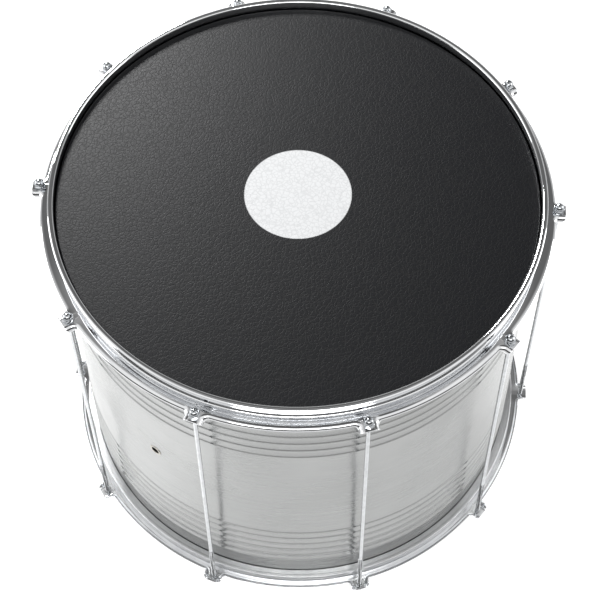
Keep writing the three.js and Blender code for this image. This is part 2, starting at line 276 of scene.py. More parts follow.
def synthetic_leather(name, printed):
    material, tree = new_finish(name)
    place = add_node(tree, "ShaderNodeTexCoord").outputs["Object"]
    wander = add_node(tree, "ShaderNodeTexNoise", {
        "Vector": place,
        "Scale": 0.5 / CREASE_SPACING,
        "Detail": 3.0,
    })
    bent = add_node(tree, "ShaderNodeVectorMath", {
        0: wander.outputs["Color"],
        1: (CREASE_WANDER,) * 3,
        2: place,
    }, operation="MULTIPLY_ADD")
    cells = add_node(tree, "ShaderNodeTexVoronoi", {
        "Vector": bent.outputs["Vector"],
        "Scale": 1 / CREASE_SPACING,
    }, feature="DISTANCE_TO_EDGE")
    crease = add_node(tree, "ShaderNodeMapRange", {
        "Value": cells.outputs["Distance"],
        "From Max": CREASE_WIDTH_SHARE,
    }, interpolation_type="SMOOTHSTEP")
    pebbles = add_node(tree, "ShaderNodeTexVoronoi", {
        "Vector": bent.outputs["Vector"],
        "Scale": 1 / PEBBLE_SIZE,
    }, feature="SMOOTH_F1")
    folds = add_node(tree, "ShaderNodeTexNoise", {
        "Vector": place,
        "Scale": 1 / HIDE_FOLD,
        "Detail": 4.0,
    })
    grain = add_node(tree, "ShaderNodeMath", {
        0: pebbles.outputs["Distance"],
        1: -PEBBLE_DEPTH_SHARE,
        2: crease.outputs["Result"],
    }, operation="MULTIPLY_ADD")
    height = add_node(tree, "ShaderNodeMath", {
        0: folds.outputs["Fac"],
        1: FOLD_DEPTH_SHARE,
        2: grain.outputs["Value"],
    }, operation="MULTIPLY_ADD")
    bump = add_node(tree, "ShaderNodeBump", {
        "Height": height.outputs["Value"],
        "Strength": 0.5,
        "Distance": CREASE_DEPTH,
    })
    roughness = add_node(tree, "ShaderNodeMapRange", {
        "Value": grain.outputs["Value"],
        "From Min": -0.2,
        "From Max": 1.0,
        "To Min": 0.46,
        "To Max": 0.36,
    })
    # painted shade: the creases are drawn darker than the skin between them
    colour = mix_colours(tree, crease.outputs["Result"], srgb("#08090b"), srgb("#0e0f12"))
    if printed:
        level = add_node(tree, "ShaderNodeVectorMath", {0: place, 1: (1, 1, 0)}, operation="MULTIPLY")
        reach = add_node(tree, "ShaderNodeVectorMath", {0: level.outputs["Vector"]}, operation="LENGTH")
        ink = add_node(tree, "ShaderNodeMapRange", {
            "Value": reach.outputs["Value"],
            "From Min": PATCH_RADIUS - INK_EDGE,
            "From Max": PATCH_RADIUS + INK_EDGE,
            "To Min": 1.0,
            "To Max": 0.0,
        })
        # painted shade: the white ink is drawn darker in the creases as well
        white = mix_colours(tree, crease.outputs["Result"], srgb("#b5b6b7"), srgb("#c2c3c4"))
        colour = mix_colours(tree, ink.outputs["Result"], colour, white)
    shade(tree, add_node(tree, "ShaderNodeBsdfPrincipled", {
        "Base Color": colour,
        "Roughness": roughness.outputs["Result"],
        "Specular IOR Level": 0.2,
        "Normal": bump.outputs["Normal"],
    }))
    return material


playing_skin = synthetic_leather("synthetic leather, black, with a white print", printed=True)
lower_skin = synthetic_leather("synthetic leather, black", printed=False)
print("crease spacing %.1f mm" % (CREASE_SPACING / MM))

# %% [markdown]
# Nearly every piece of a drum is round, so one function turns a profile about the Z axis, as a
# lathe does. A second function rounds the corners of a profile first: every real edge has a
# small radius, and that radius is what catches the light. A corner is given as its radius from
# the axis, its height and, if it is rounded, its bend.

# %% Lathe and rounded profiles
CIRCLE_STEPS = 240
BEND_STEPS = 5
SHARP_ANGLE = math.radians(38)


def rounded(corners, closed=True, steps=BEND_STEPS):
    points = []
    count = len(corners)
    for i, (across, up, *bend) in enumerate(corners):
        corner = Vector((across, up))
        inside = closed or 0 < i < count - 1
        if not bend or not inside:
            points.append(corner)
            continue
        back = (Vector(corners[i - 1][:2]) - corner).normalized()
        ahead = (Vector(corners[(i + 1) % count][:2]) - corner).normalized()
        half = back.angle(ahead) / 2
        centre = corner + (back + ahead).normalized() * bend[0] / math.sin(half)
        start = corner + back * bend[0] / math.tan(half) - centre
        finish = corner + ahead * bend[0] / math.tan(half) - centre
        turn = start.angle_signed(finish)
        for k in range(steps + 1):
            points.append(centre + Matrix.Rotation(-turn * k / steps, 2) @ start)
    return points


def add_piece(name, vertices, faces, material):
    mesh = bpy.data.meshes.new(name)
    mesh.from_pydata([tuple(v) for v in vertices], [], faces)
    mesh.materials.append(material)
    piece = bpy.data.objects.new(name, mesh)
    bpy.context.scene.collection.objects.link(piece)
    return piece


def smooth(piece):
    piece.data.shade_smooth()
    piece.data.set_sharp_from_angle(angle=SHARP_ANGLE)
    return piece


# A profile that starts and ends on the axis makes a solid, and any other one closes on itself
def turned(name, profile, material, steps=CIRCLE_STEPS):
    on_axis = profile[0].x == 0
    vertices = []
    rings = []
    for point in profile:
        count = 1 if point.x == 0 else steps
        rings.append([len(vertices) + k % count for k in range(steps)])
        for k in range(count):
            angle = math.tau * k / steps
            vertices.append((point.x * math.cos(angle), point.x * math.sin(angle), point.y))
    pairs = list(zip(rings, rings[1:])) if on_axis else list(zip(rings, rings[1:] + rings[:1]))
    faces = []
    for low, high in pairs:
        for k in range(steps):
            ahead = (k + 1) % steps
            corners = [low[k], low[ahead], high[ahead], high[k]]
            faces.append(list(dict.fromkeys(corners)))
    return smooth(add_piece(name, vertices, faces, material))


print("a circle has", CIRCLE_STEPS, "steps")

# %% [markdown]
# The shell's ribs are rolled in by a pair of wheels, so the sheet stands out on the outside and
# follows it on the inside. They sit in a group of six near each end. The profile goes up the
# outside and down the inside, with a smooth wave at each rib. The vent is drilled by a Boolean,
# and a ring of points just above and below it keeps the cut from reaching into the mirror-like
# faces around it.

# %% Ribbed shell
SHELL_WALL = 1.2 * MM
RIBS = 6
RIB_PITCH = 18 * MM
RIB_WIDTH = 6 * MM
TOP_RIB_INSET = 37 * MM
BOTTOM_RIB_INSET = 60 * MM
RIB_POINTS = 10              # for each wave on the outside, and half as many on the inside
VENT_RISE = 272 * MM
VENT_ANGLE = math.radians(-124.3)
VENT_HOLE = 6.3 * MM
VENT_PATCH = 16 * MM         # from the vent's middle to the ring of points above or below it
DRILL_REACH = 20 * MM        # on both sides of the sheet
DRILL_STEPS = 40


# The two rings of points round the vent come between the two groups of ribs
def wall_with_ribs(radius, points):
    heights = [SHELL_LOW + BOTTOM_RIB_INSET + i * RIB_PITCH for i in range(RIBS)]
    heights += [SHELL_HIGH - TOP_RIB_INSET - i * RIB_PITCH for i in reversed(range(RIBS))]
    wall = []
    for height in heights:
        if height == heights[RIBS]:
            wall += [Vector((radius, SHELL_LOW + VENT_RISE + side * VENT_PATCH)) for side in (-1, 1)]
        for k in range(points + 1):
            share = k / points
            swell = RIB_HEIGHT * (1 - math.cos(math.tau * share)) / 2
            wall.append(Vector((radius + swell, height + RIB_WIDTH * (share - 0.5))))
    return wall


def vent_direction():
    turn = Matrix.Rotation(VENT_ANGLE, 4, "Z") @ Matrix.Rotation(math.pi / 2, 4, "Y")
    return Matrix.Translation((0, 0, SHELL_LOW + VENT_RISE)) @ turn


def apply_modifiers(piece):
    evaluated = piece.evaluated_get(bpy.context.evaluated_depsgraph_get())
    mesh = bpy.data.meshes.new_from_object(evaluated)
    piece.modifiers.clear()
    piece.data = mesh


def cut(piece, tool):
    cutter = piece.modifiers.new("cut", "BOOLEAN")
    cutter.object = tool
    cutter.operation = "DIFFERENCE"
    cutter.solver = "EXACT"
    apply_modifiers(piece)
    bpy.data.objects.remove(tool)


outside = wall_with_ribs(SHELL_RADIUS, RIB_POINTS)
inside = wall_with_ribs(SHELL_RADIUS - SHELL_WALL, RIB_POINTS // 2)
shell = turned("ribbed_shell", [
    Vector((SHELL_RADIUS - SHELL_WALL, SHELL_LOW)),
    Vector((SHELL_RADIUS, SHELL_LOW)),
    *outside,
    Vector((SHELL_RADIUS, SHELL_HIGH)),
    Vector((SHELL_RADIUS - SHELL_WALL, SHELL_HIGH)),
    *reversed(inside),
], shell_finish)
drill = turned("vent_drill", rounded([
    (0, SHELL_RADIUS - DRILL_REACH),
    (VENT_HOLE, SHELL_RADIUS - DRILL_REACH),
    (VENT_HOLE, SHELL_RADIUS + DRILL_REACH),
    (0, SHELL_RADIUS + DRILL_REACH),
], closed=False), shell_finish, steps=DRILL_STEPS)
drill.data.transform(vent_direction())
cut(shell, drill)
smooth(shell)
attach(shell, "drum")
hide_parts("shell")
print("shell faces:", len(shell.data.polygons))

# %% [markdown]
# The vent lets air out when the head is struck. Its edge is lined by an eyelet: a short tube
# whose ends are rolled outwards over the sheet. It is turned on the lathe about Z and then laid
# down into its hole.

# %% Vent eyelet
VENT_BORE = 5.8 * MM
BARREL = 6.1 * MM
FLANGE = 9.3 * MM
FLANGE_THICKNESS = 0.8 * MM
OUTER_ROLL = 0.7 * MM        # bends of the flange that shows
INNER_ROLL = 0.6 * MM
INNER_EDGE = 0.35 * MM
OUTER_SINK = 0.1 * MM        # the flat flange sits in a little, because the sheet curves away
INNER_GAP = 0.2 * MM         # and inside it keeps off the wall, which curves towards it
EYELET_STEPS = 48
outer_face = SHELL_RADIUS - OUTER_SINK
inner_face = SHELL_RADIUS - SHELL_WALL - INNER_GAP
eyelet = turned("riveted_eyelet", rounded([
    (VENT_BORE, inner_face - FLANGE_THICKNESS, INNER_ROLL),
    (FLANGE, inner_face - FLANGE_THICKNESS, INNER_EDGE),
    (FLANGE, inner_face),
    (BARREL, inner_face),
    (BARREL, outer_face),
    (FLANGE, outer_face),
    (FLANGE, outer_face + FLANGE_THICKNESS, OUTER_ROLL),
    (VENT_BORE, outer_face + FLANGE_THICKNESS, OUTER_ROLL),
]), eyelet_finish, steps=EYELET_STEPS)
eyelet.data.transform(vent_direction())
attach(eyelet, "drum")
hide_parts("vent_eyelet")
print("eyelet flange %.1f mm across" % (2 * FLANGE / MM))

# %% [markdown]
# A head is one skin: it lies flat over the shell's edge, turns down past it as a collar, folds
# over the inner wall of the flesh hoop and ends in a thick hem inside the channel. Its profile
# starts on the axis and comes back to it, so it is a closed solid, drawn once for both ends.

# %% Heads
SKIN = 1.2 * MM
SEAT_GAP = 0.3 * MM
SHELL_BEND = 1.7 * MM        # where the skin turns down over the shell's edge
COLLAR_BEND = 1.0 * MM
FOLD_BEND = 1.5 * MM
HEM_BEND = 1.0 * MM
HEM_WIDTH = 6.1 * MM
HEAD_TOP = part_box("top_head")[1].z - OVERALL_HEIGHT
HEM_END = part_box("top_head")[0].z - OVERALL_HEIGHT
HEM_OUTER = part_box("top_head")[1].x
FLESH_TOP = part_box("top_flesh_hoop")[1].z - OVERALL_HEIGHT
COLLAR = SHELL_RADIUS + SEAT_GAP + SKIN
SKIN_RINGS = 12              # rings of points in the flat of the skin


def head(name, end, material):
    rings = [Vector((0, HEAD_TOP))]
    for k in range(1, SKIN_RINGS):
        rings.append(Vector(((COLLAR - 4 * SHELL_BEND) * k / SKIN_RINGS, HEAD_TOP)))
    fold = FLESH_TOP - SKIN
    piece = turned(name, rings + rounded([
        (COLLAR - 2 * SHELL_BEND, HEAD_TOP),
        (COLLAR, HEAD_TOP, SHELL_BEND),
        (COLLAR, FLESH_TOP, COLLAR_BEND),
        (HEM_OUTER, FLESH_TOP, FOLD_BEND),
        (HEM_OUTER, HEM_END, HEM_BEND),
        (HEM_OUTER - HEM_WIDTH, HEM_END, HEM_BEND),
        (HEM_OUTER - HEM_WIDTH, fold),
        (COLLAR - SKIN, fold),
        (COLLAR - SKIN, HEAD_TOP - SKIN),
        (0, HEAD_TOP - SKIN),
    ], closed=False), material)
    piece.data.transform(ENDS[end])
    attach(piece, "drum")
    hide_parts(end + "_head")
    return piece


playing_head = head("playing_head", "top", playing_skin)
lower_head = head("lower_head", "bottom", lower_skin)
print("playing surface at %.1f mm" % ((OVERALL_HEIGHT + HEAD_TOP) / MM))

# %% [markdown]
# The flesh hoop is an aluminium channel bent into a ring, open towards the nearer end of the
# drum. The hem is glued inside it, and the counter hoop presses on it. The lower one shows as a
# bright ring above the lower hoop, with a shallow step round its closed side, which comes close
# to the shell and leaves a thin dark line there.

# %% Flesh hoops
FLESH_GAP = 1.8 * MM         # between the shell and the inner wall of the channel
FOOT_GAP = 0.6 * MM          # between the shell and the closed side, which reaches further in
FLESH_WALL = 1.6 * MM
FLESH_FOOT = 2.4 * MM
FLESH_STEP = 0.8 * MM
FLESH_FLANGE = 3.6 * MM
FLESH_EDGE = 0.5 * MM
FLESH_BEND_STEPS = 4
FLESH_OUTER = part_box("top_flesh_hoop")[1].x
FLESH_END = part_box("top_flesh_hoop")[0].z - OVERALL_HEIGHT


def flesh_hoop(name, end):
    inner = SHELL_RADIUS + FLESH_GAP
    foot_inner = SHELL_RADIUS + FOOT_GAP
    foot_top = FLESH_END + FLESH_FOOT
    step = FLESH_OUTER - FLESH_FLANGE
    inner_top = FLESH_TOP - SKIN - SEAT_GAP
    piece = turned(name, rounded([
        (foot_inner, FLESH_END + FLESH_STEP, FLESH_EDGE),
        (step - FLESH_STEP, FLESH_END + FLESH_STEP, FLESH_EDGE),
        (step, FLESH_END, FLESH_EDGE),
        (FLESH_OUTER, FLESH_END, 2 * FLESH_EDGE),
        (FLESH_OUTER, FLESH_TOP, FLESH_EDGE),
        (FLESH_OUTER - FLESH_WALL, FLESH_TOP, FLESH_EDGE),
        (FLESH_OUTER - FLESH_WALL, foot_top, FLESH_EDGE),
        (inner + FLESH_WALL, foot_top, FLESH_EDGE),
        (inner + FLESH_WALL, inner_top, FLESH_EDGE),
        (inner, inner_top, FLESH_EDGE),
        (inner, foot_top),
        (foot_inner, foot_top),
    ], steps=FLESH_BEND_STEPS), flesh_finish)
    piece.data.transform(ENDS[end])
    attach(piece, "drum")
    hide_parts(end + "_flesh_hoop")
    return piece


upper_flesh_hoop = flesh_hoop("upper_flesh_hoop", "top")
lower_flesh_hoop = flesh_hoop("lower_flesh_hoop", "bottom")
print("flesh hoop %.1f mm deep" % ((FLESH_TOP - FLESH_END) / MM))

# %% [markdown]
# The counter hoop takes the most skill. It is one sheet of steel, pressed in three flanges: a
# rim turned outwards, an upright wall, and a ledge whose edge slopes down as a lip. At each rod
# the ledge runs out into an ear. So its section isn't the same all round, and a lathe can't
# make it. Instead, the outline of the ledge is walked in stations. Each station has a section:
# the rim and the wall stay round, and the lip follows the outline and its normal. At the front
# of an ear the section stops short, because the ear is cut open there. The sheet gets its
# thickness from a Solidify modifier, its edges are eased by a Bevel, and the holes for the rods
# are drilled last.

# %% Outline of the ledge
SHEET = 1.6 * MM
RIM_WIDTH = 6.9 * MM
RIM_EDGE_WIDTH = 1.7 * MM    # the outer edge of the rim is turned down a little
RIM_EDGE_FALL = 1.0 * MM
RIM_EDGE_BEND = 1.5 * MM
RIM_BEND = 1.6 * MM
HOOP_CLEARANCE = 1.1 * MM    # between the collar and the wall, so that the hoop slides over it
HOOP_WALL = COLLAR + HOOP_CLEARANCE + SHEET
LEDGE_DEPTH = 23.5 * MM
LEDGE_WIDTH = 13.7 * MM
LEDGE_CORNER = HOOP_WALL + LEDGE_WIDTH
LEDGE_FILLET = 3.5 * MM
LIP_REACH = 4.8 * MM
LIP_DROP = 4.4 * MM
LIP_BEND = 1.5 * MM          # how far inside the corner the lip starts to turn down
EAR_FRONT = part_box("top_hoop")[1].x
EAR_HALF_WIDTH = 7.4 * MM
EAR_FILLET = 10 * MM
EAR_LIP_REACH = 5.4 * MM
EAR_LIP_DROP = 8 * MM
EAR_SET_BACK = 5 * MM        # how far the lip's open front falls back on its way down
ARC_STATIONS = 24
FILLET_STATIONS = 10
FLANK_STATIONS = 4
FRONT_STATIONS = 6
LIP_STEPS = 8
ROOT_ANGLE = math.asin((EAR_HALF_WIDTH + EAR_FILLET) / (LEDGE_CORNER + EAR_FILLET))


# Half an ear, from its root on the ring to the corner of its open front. Each station has a
# point, its normal, how far the lip has grown to its size on an ear, and how far it falls back
def ear_side():
    centre = Vector(((LEDGE_CORNER + EAR_FILLET) * math.cos(ROOT_ANGLE), -EAR_HALF_WIDTH - EAR_FILLET))
    side = []
    for k in range(FILLET_STATIONS + 1):
        share = k / FILLET_STATIONS
        angle = math.pi - ROOT_ANGLE + (ROOT_ANGLE - math.pi / 2) * share
        ray = Vector((math.cos(angle), math.sin(angle)))
        growth = share * share * (3 - 2 * share)
        side.append((centre + EAR_FILLET * ray, -ray, growth, 0.0))
    for k in range(1, FLANK_STATIONS + 1):
        share = k / FLANK_STATIONS
        across = centre.x + (EAR_FRONT - centre.x) * share
        side.append((Vector((across, -EAR_HALF_WIDTH)), Vector((0, -1)), 1.0, EAR_SET_BACK * share))
    return side


# The lip's reach and drop where it has grown by a share
def lip_size(growth):
    reach = LIP_REACH + (EAR_LIP_REACH - LIP_REACH) * growth
    drop = LIP_DROP + (EAR_LIP_DROP - LIP_DROP) * growth
    return reach, drop


# One lug's stations: an ear, whose front has no lip, then the plain ring up to the next ear
def lug_stations():
    low_side = ear_side()
    high_side = [(Vector((p.x, -p.y)), Vector((n.x, -n.y)), growth, back)
                 for p, n, growth, back in reversed(low_side)]
    flat = EAR_HALF_WIDTH - LIP_BEND
    front = []
    for k in range(1, FRONT_STATIONS):
        across = flat * (2 * k / FRONT_STATIONS - 1)
        front.append((Vector((EAR_FRONT, across)), Vector((1, 0)), None, 0.0))
    ear = low_side + front + high_side
    stations = []
    for k, station in enumerate(ear):
        stations.append((ROOT_ANGLE * (2 * k / (len(ear) - 1) - 1), *station))
    for k in range(1, ARC_STATIONS):
        azimuth = ROOT_ANGLE + (LUG_STEP - 2 * ROOT_ANGLE) * k / ARC_STATIONS
        ray = Vector((math.cos(azimuth), math.sin(azimuth)))
        stations.append((azimuth, LEDGE_CORNER * ray, ray, 0.0, 0.0))
    return stations


print("stations for each lug:", len(lug_stations()))

# %% [markdown]
# The section is written once, as two rounded profiles: one from the rim's edge down the wall to
# the ledge, measured from the drum's axis, and one over the edge of the ledge, measured from the
# outline. Faces join each station to the next, as far as the shorter of the two sections goes.

# %% Pressed counter hoops
EDGE_EASE = 0.3 * MM
EASE_STEPS = 2
EASE_ANGLE = math.radians(60)
EAR_HOLE = 3.6 * MM
EAR_DRILL_STEPS = 24


# Points of the lip at one station: a quarter of an oval, from level to upright. Its open front
# falls back in a curve, so the lip ends round
def lip_points(point, normal, growth, set_back):
    reach, drop = lip_size(growth)
    points = []
    for k in range(LIP_STEPS + 1):
        angle = math.pi / 2 * k / LIP_STEPS
        across = -LIP_BEND + (reach + LIP_BEND) * math.sin(angle)
        depth = 1 - math.cos(angle)
        place = point + across * normal - Vector((set_back * depth ** 2, 0))
        points.append((place, -LEDGE_DEPTH - drop * depth))
    return points


def hoop_sheet(name):
    wall = rounded([
        (HOOP_WALL - SHEET + RIM_WIDTH, -RIM_EDGE_FALL - SHEET),
        (HOOP_WALL - SHEET + RIM_WIDTH - RIM_EDGE_WIDTH, -SHEET, RIM_EDGE_BEND),
        (HOOP_WALL, -SHEET, RIM_BEND),
        (HOOP_WALL, -LEDGE_DEPTH, LEDGE_FILLET),
        (LEDGE_CORNER, -LEDGE_DEPTH),
    ], closed=False)[:-1]
    vertices = []
    sections = []
    for lug in range(LUGS):
        turn = Matrix.Rotation(lug * LUG_STEP, 2)
        for azimuth, point, normal, growth, set_back in lug_stations():
            ray = Matrix.Rotation(azimuth, 2) @ Vector((1, 0))
            section = [(across * ray, up) for across, up in wall]
            if growth is None:
                section.append((point, -LEDGE_DEPTH))
            else:
                section += lip_points(point, normal, growth, set_back)
            sections.append(range(len(vertices), len(vertices) + len(section)))
            vertices += [(*(turn @ place), up) for place, up in section]
    faces = []
    for here, ahead in zip(sections, sections[1:] + sections[:1]):
        for k in range(min(len(here), len(ahead)) - 1):
            faces.append((here[k], here[k + 1], ahead[k + 1], ahead[k]))
    return add_piece(name, vertices, faces, hoop_finish)


def ear_drills():
    reach = -2 * LEDGE_DEPTH
    profile = rounded([(0, reach), (EAR_HOLE, reach), (EAR_HOLE, 0), (0, 0)], closed=False)
    tool = turned("ear_drills", profile, hoop_finish, steps=EAR_DRILL_STEPS)
    single = tool.data.copy()
    points, faces = [], []
    for lug in range(LUGS):
        place = Matrix.Rotation(lug * LUG_STEP, 4, "Z") @ Matrix.Translation((ROD_CIRCLE, 0, 0))
        faces += [[len(points) + v for v in face.vertices] for face in single.polygons]
        points += [place @ v.co for v in single.vertices]
    bpy.data.objects.remove(tool)
    return add_piece("ear_drills", points, faces, hoop_finish)


def pressed_hoop(name, end, body):
    piece = hoop_sheet(name)
    thickness = piece.modifiers.new("sheet", "SOLIDIFY")
    thickness.thickness = SHEET
    thickness.offset = -1
    thickness.use_even_offset = True
    easing = piece.modifiers.new("eased edges", "BEVEL")
    easing.width = EDGE_EASE
    easing.segments = EASE_STEPS
    easing.limit_method = "ANGLE"
    easing.angle_limit = EASE_ANGLE
    apply_modifiers(piece)
    cut(piece, ear_drills())
    piece.data.transform(ENDS[end])
    smooth(piece)
    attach(piece, body)
    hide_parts(end + "_hoop")
    return piece


top_hoop = pressed_hoop("pressed_top_hoop", "top", "top_hoop")
bottom_hoop = pressed_hoop("pressed_bottom_hoop", "bottom", "bottom_hoop")
print("hoop faces:", len(top_hoop.data.polygons))

# %% [markdown]
# Rods and nuts repeat, so Geometry Nodes make them. A tree is a recipe with named inputs for
# its sizes. One helper starts such a tree, and another runs it: it sets the inputs by their
# identifiers, lets Blender work the shape out once, and keeps the result as a plain mesh with
# the modifier gone.

# %% Geometry Nodes helpers
SOCKET_KINDS = {
    int: "NodeSocketInt",
    float: "NodeSocketFloat",
    Vector: "NodeSocketVector",
    bpy.types.Material: "NodeSocketMaterial",
}


def start_tree(name, sizes):
    tree = bpy.data.node_groups.new(name, "GeometryNodeTree")
    for label, value in sizes.items():
        socket = tree.interface.new_socket(label, in_out="INPUT", socket_type=SOCKET_KINDS[type(value)])
        socket.default_value = value
    tree.interface.new_socket("Geometry", in_out="OUTPUT", socket_type="NodeSocketGeometry")
    return tree, tree.nodes.new("NodeGroupInput").outputs


def end_tree(tree, geometry, material):
    real = add_node(tree, "GeometryNodeRealizeInstances", {"Geometry": geometry})
    made = add_node(tree, "GeometryNodeSetMaterial", {
        "Geometry": real.outputs["Geometry"],
        "Material": material,
    })
    add_node(tree, "NodeGroupOutput", {"Geometry": made.outputs["Geometry"]})


def grown(name, tree, sizes):
    piece = bpy.data.objects.new(name, bpy.data.meshes.new(name))
    bpy.context.scene.collection.objects.link(piece)
    recipe = piece.modifiers.new("recipe", "NODES")
    recipe.node_group = tree
    for item in tree.interface.items_tree:
        if item.in_out == "INPUT" and item.name in sizes:
            recipe[item.identifier] = sizes[item.name]
    apply_modifiers(piece)
    return smooth(piece)


def calculate(tree, operation, *values):
    node = add_node(tree, "ShaderNodeMath", dict(enumerate(values)), operation=operation)
    return node.outputs["Value"]


print("kinds of input:", len(SOCKET_KINDS))

# %% [markdown]
# A tension rod is a steel bar with a thread rolled on each end: a long one at the bottom, which
# takes up the stretch of the heads, and a short one at the top. A rolled thread is a helix, so
# its radius is a wave that climbs by one pitch in each turn. In the tree, a cylinder with a few
# rows for each turn has its points moved in and out by that wave. Ten rods are then copied onto
# the points of a circle.

# %% Tension rods
THREAD_CREST = 3.175 * MM    # radius of a 1/4 inch thread
THREAD_ROOT = 2.68 * MM
SHANK = 2.75 * MM
THREAD_PITCH = 1.27 * MM     # 20 turns to the inch
UPPER_THREAD = 14 * MM       # thread that shows under an upper ear
LOWER_THREAD = 88 * MM       # thread that shows above a lower ear
THREAD_SIDES = 14
ROWS_PER_TURN = 4
SHANK_SIDES = 24
ROD_LOW, ROD_HIGH = (corner.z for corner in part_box("tension_rod_01"))

rod_sizes = {
    "Rods": LUGS,
    "Circle": ROD_CIRCLE,
    "Low": ROD_LOW,
    "Lower thread end": LEDGE_DEPTH + SHEET + LOWER_THREAD,
    "Upper thread start": OVERALL_HEIGHT - LEDGE_DEPTH - SHEET - UPPER_THREAD,
    "High": ROD_HIGH,
    "Crest": THREAD_CREST,
    "Root": THREAD_ROOT,
    "Shank": SHANK,
    "Pitch": THREAD_PITCH,
    "Finish": rod_finish,
}
rod_tree, rod_inputs = start_tree("threaded rods on a circle", rod_sizes)


def bar(tree, low, high, radius, sides, rows):
    length = calculate(tree, "SUBTRACT", high, low)
    cylinder = add_node(tree, "GeometryNodeMeshCylinder", {
        "Vertices": sides,
        "Side Segments": rows,
        "Radius": radius,
        "Depth": length,
    })
    middle = calculate(tree, "MULTIPLY", calculate(tree, "ADD", high, low), 0.5)
    return cylinder.outputs["Mesh"], add_node(tree, "ShaderNodeCombineXYZ", {"Z": middle})


def shank(tree, inputs):
    mesh, middle = bar(tree, inputs["Lower thread end"], inputs["Upper thread start"],
                       inputs["Shank"], SHANK_SIDES, 1)
    return add_node(tree, "GeometryNodeSetPosition", {
        "Geometry": mesh,
        "Offset": middle.outputs["Vector"],
    }).outputs["Geometry"]


def thread(tree, inputs, low, high):
    turns = calculate(tree, "DIVIDE", calculate(tree, "SUBTRACT", high, low), inputs["Pitch"])
    rows = calculate(tree, "CEIL", calculate(tree, "MULTIPLY", turns, ROWS_PER_TURN))
    mesh, middle = bar(tree, low, high, inputs["Crest"], THREAD_SIDES, rows)
    place = add_node(tree, "GeometryNodeInputPosition").outputs["Position"]
    axes = add_node(tree, "ShaderNodeSeparateXYZ", {"Vector": place}).outputs
    climb = calculate(tree, "MULTIPLY", calculate(tree, "DIVIDE", axes["Z"], inputs["Pitch"]), math.tau)
    around = calculate(tree, "ARCTAN2", axes["Y"], axes["X"])
    wave = calculate(tree, "COSINE", calculate(tree, "SUBTRACT", climb, around))
    share = calculate(tree, "MULTIPLY_ADD", wave, 0.5, 0.5)
    depth = calculate(tree, "SUBTRACT", inputs["Crest"], inputs["Root"])
    radius = calculate(tree, "MULTIPLY_ADD", depth, share, inputs["Root"])
    drawn_in = calculate(tree, "DIVIDE", radius, inputs["Crest"])
    moved = add_node(tree, "ShaderNodeCombineXYZ", {
        "X": calculate(tree, "MULTIPLY", axes["X"], drawn_in),
        "Y": calculate(tree, "MULTIPLY", axes["Y"], drawn_in),
        "Z": axes["Z"],
    })
    return add_node(tree, "GeometryNodeSetPosition", {
        "Geometry": mesh,
        "Position": moved.outputs["Vector"],
        "Offset": middle.outputs["Vector"],
    }).outputs["Geometry"]


one_rod = add_node(rod_tree, "GeometryNodeJoinGeometry")
for part in (
    thread(rod_tree, rod_inputs, rod_inputs["Low"], rod_inputs["Lower thread end"]),
    shank(rod_tree, rod_inputs),
    thread(rod_tree, rod_inputs, rod_inputs["Upper thread start"], rod_inputs["High"]),
):
    rod_tree.links.new(part, one_rod.inputs["Geometry"])
circle = add_node(rod_tree, "GeometryNodeMeshCircle", {
    "Vertices": rod_inputs["Rods"],
    "Radius": rod_inputs["Circle"],
})
copies = add_node(rod_tree, "GeometryNodeInstanceOnPoints", {
    "Points": circle.outputs["Mesh"],
    "Instance": one_rod.outputs["Geometry"],
})
end_tree(rod_tree, copies.outputs["Instances"], rod_inputs["Finish"])

rods = grown("tension_rods", rod_tree, rod_sizes)
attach(rods, "drum")
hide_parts(*["tension_rod_%02d" % (lug + 1) for lug in range(LUGS)])
print("rod faces:", len(rods.data.polygons))

# %% [markdown]
# A cap nut is turned from hexagon bar: the corners of its hexagon are trimmed by a shallow cone
# on each side, a dome closes its top, and a blind hole comes in from below. The tree does what
# the lathe does, with Mesh Booleans: the hexagon is kept where it lies inside both cones, the
# dome is added and the bore taken out. Every nut turns by itself when the drum is tuned, so each
# is a piece of its own, made by the same tree with another place and another turn.

# %% Cap nuts
HEX_SIDES = 6
NUT_HALF_WIDTH = 6.35 * MM   # half of 1/2 inch, from flat to flat
NUT_CORNER = NUT_HALF_WIDTH / math.cos(math.pi / HEX_SIDES)
NUT_CHAMFER = 6.25 * MM      # radius of the round face that the trimmed hexagon keeps
NUT_HEX_HEIGHT = 7 * MM
NUT_DOME = 6.0 * MM
NUT_HEIGHT = 12.7 * MM
NUT_BORE = 3.35 * MM
NUT_BORE_DEPTH = 9.6 * MM
CHAMFER_SLOPE = math.tan(math.radians(30))
ROUND_SIDES = 40
DOME_RINGS = 24

nut_sizes = {
    "Corner": NUT_CORNER,
    "Face": NUT_CHAMFER,
    "Hexagon height": NUT_HEX_HEIGHT,
    "Dome": NUT_DOME,
    "Height": NUT_HEIGHT,
    "Bore": NUT_BORE,
    "Bore depth": NUT_BORE_DEPTH,
    "Place": Vector((0, 0, 0)),
    "Turn": Vector((0, 0, 0)),
    "Finish": nut_finish,
}
nut_tree, nut_inputs = start_tree("cap nut", nut_sizes)


def cone(tree, low_radius, high_radius, height, sides):
    return add_node(tree, "GeometryNodeMeshCone", {
        "Vertices": sides,
        "Radius Bottom": low_radius,
        "Radius Top": high_radius,
        "Depth": height,
    }).outputs["Mesh"]


def mesh_boolean(tree, operation, *meshes):
    node = add_node(tree, "GeometryNodeMeshBoolean", operation=operation, solver="EXACT")
    for k, mesh in enumerate(meshes):
        first = operation == "DIFFERENCE" and k == 0
        tree.links.new(mesh, node.inputs["Mesh 1" if first else "Mesh 2"])
    return node.outputs["Mesh"]


def set_up(tree, mesh, height=0.0, scale=(1, 1, 1)):
    lift = add_node(tree, "ShaderNodeCombineXYZ", {"Z": height})
    return add_node(tree, "GeometryNodeTransform", {
        "Geometry": mesh,
        "Translation": lift.outputs["Vector"],
        "Scale": scale,
    }).outputs["Geometry"]


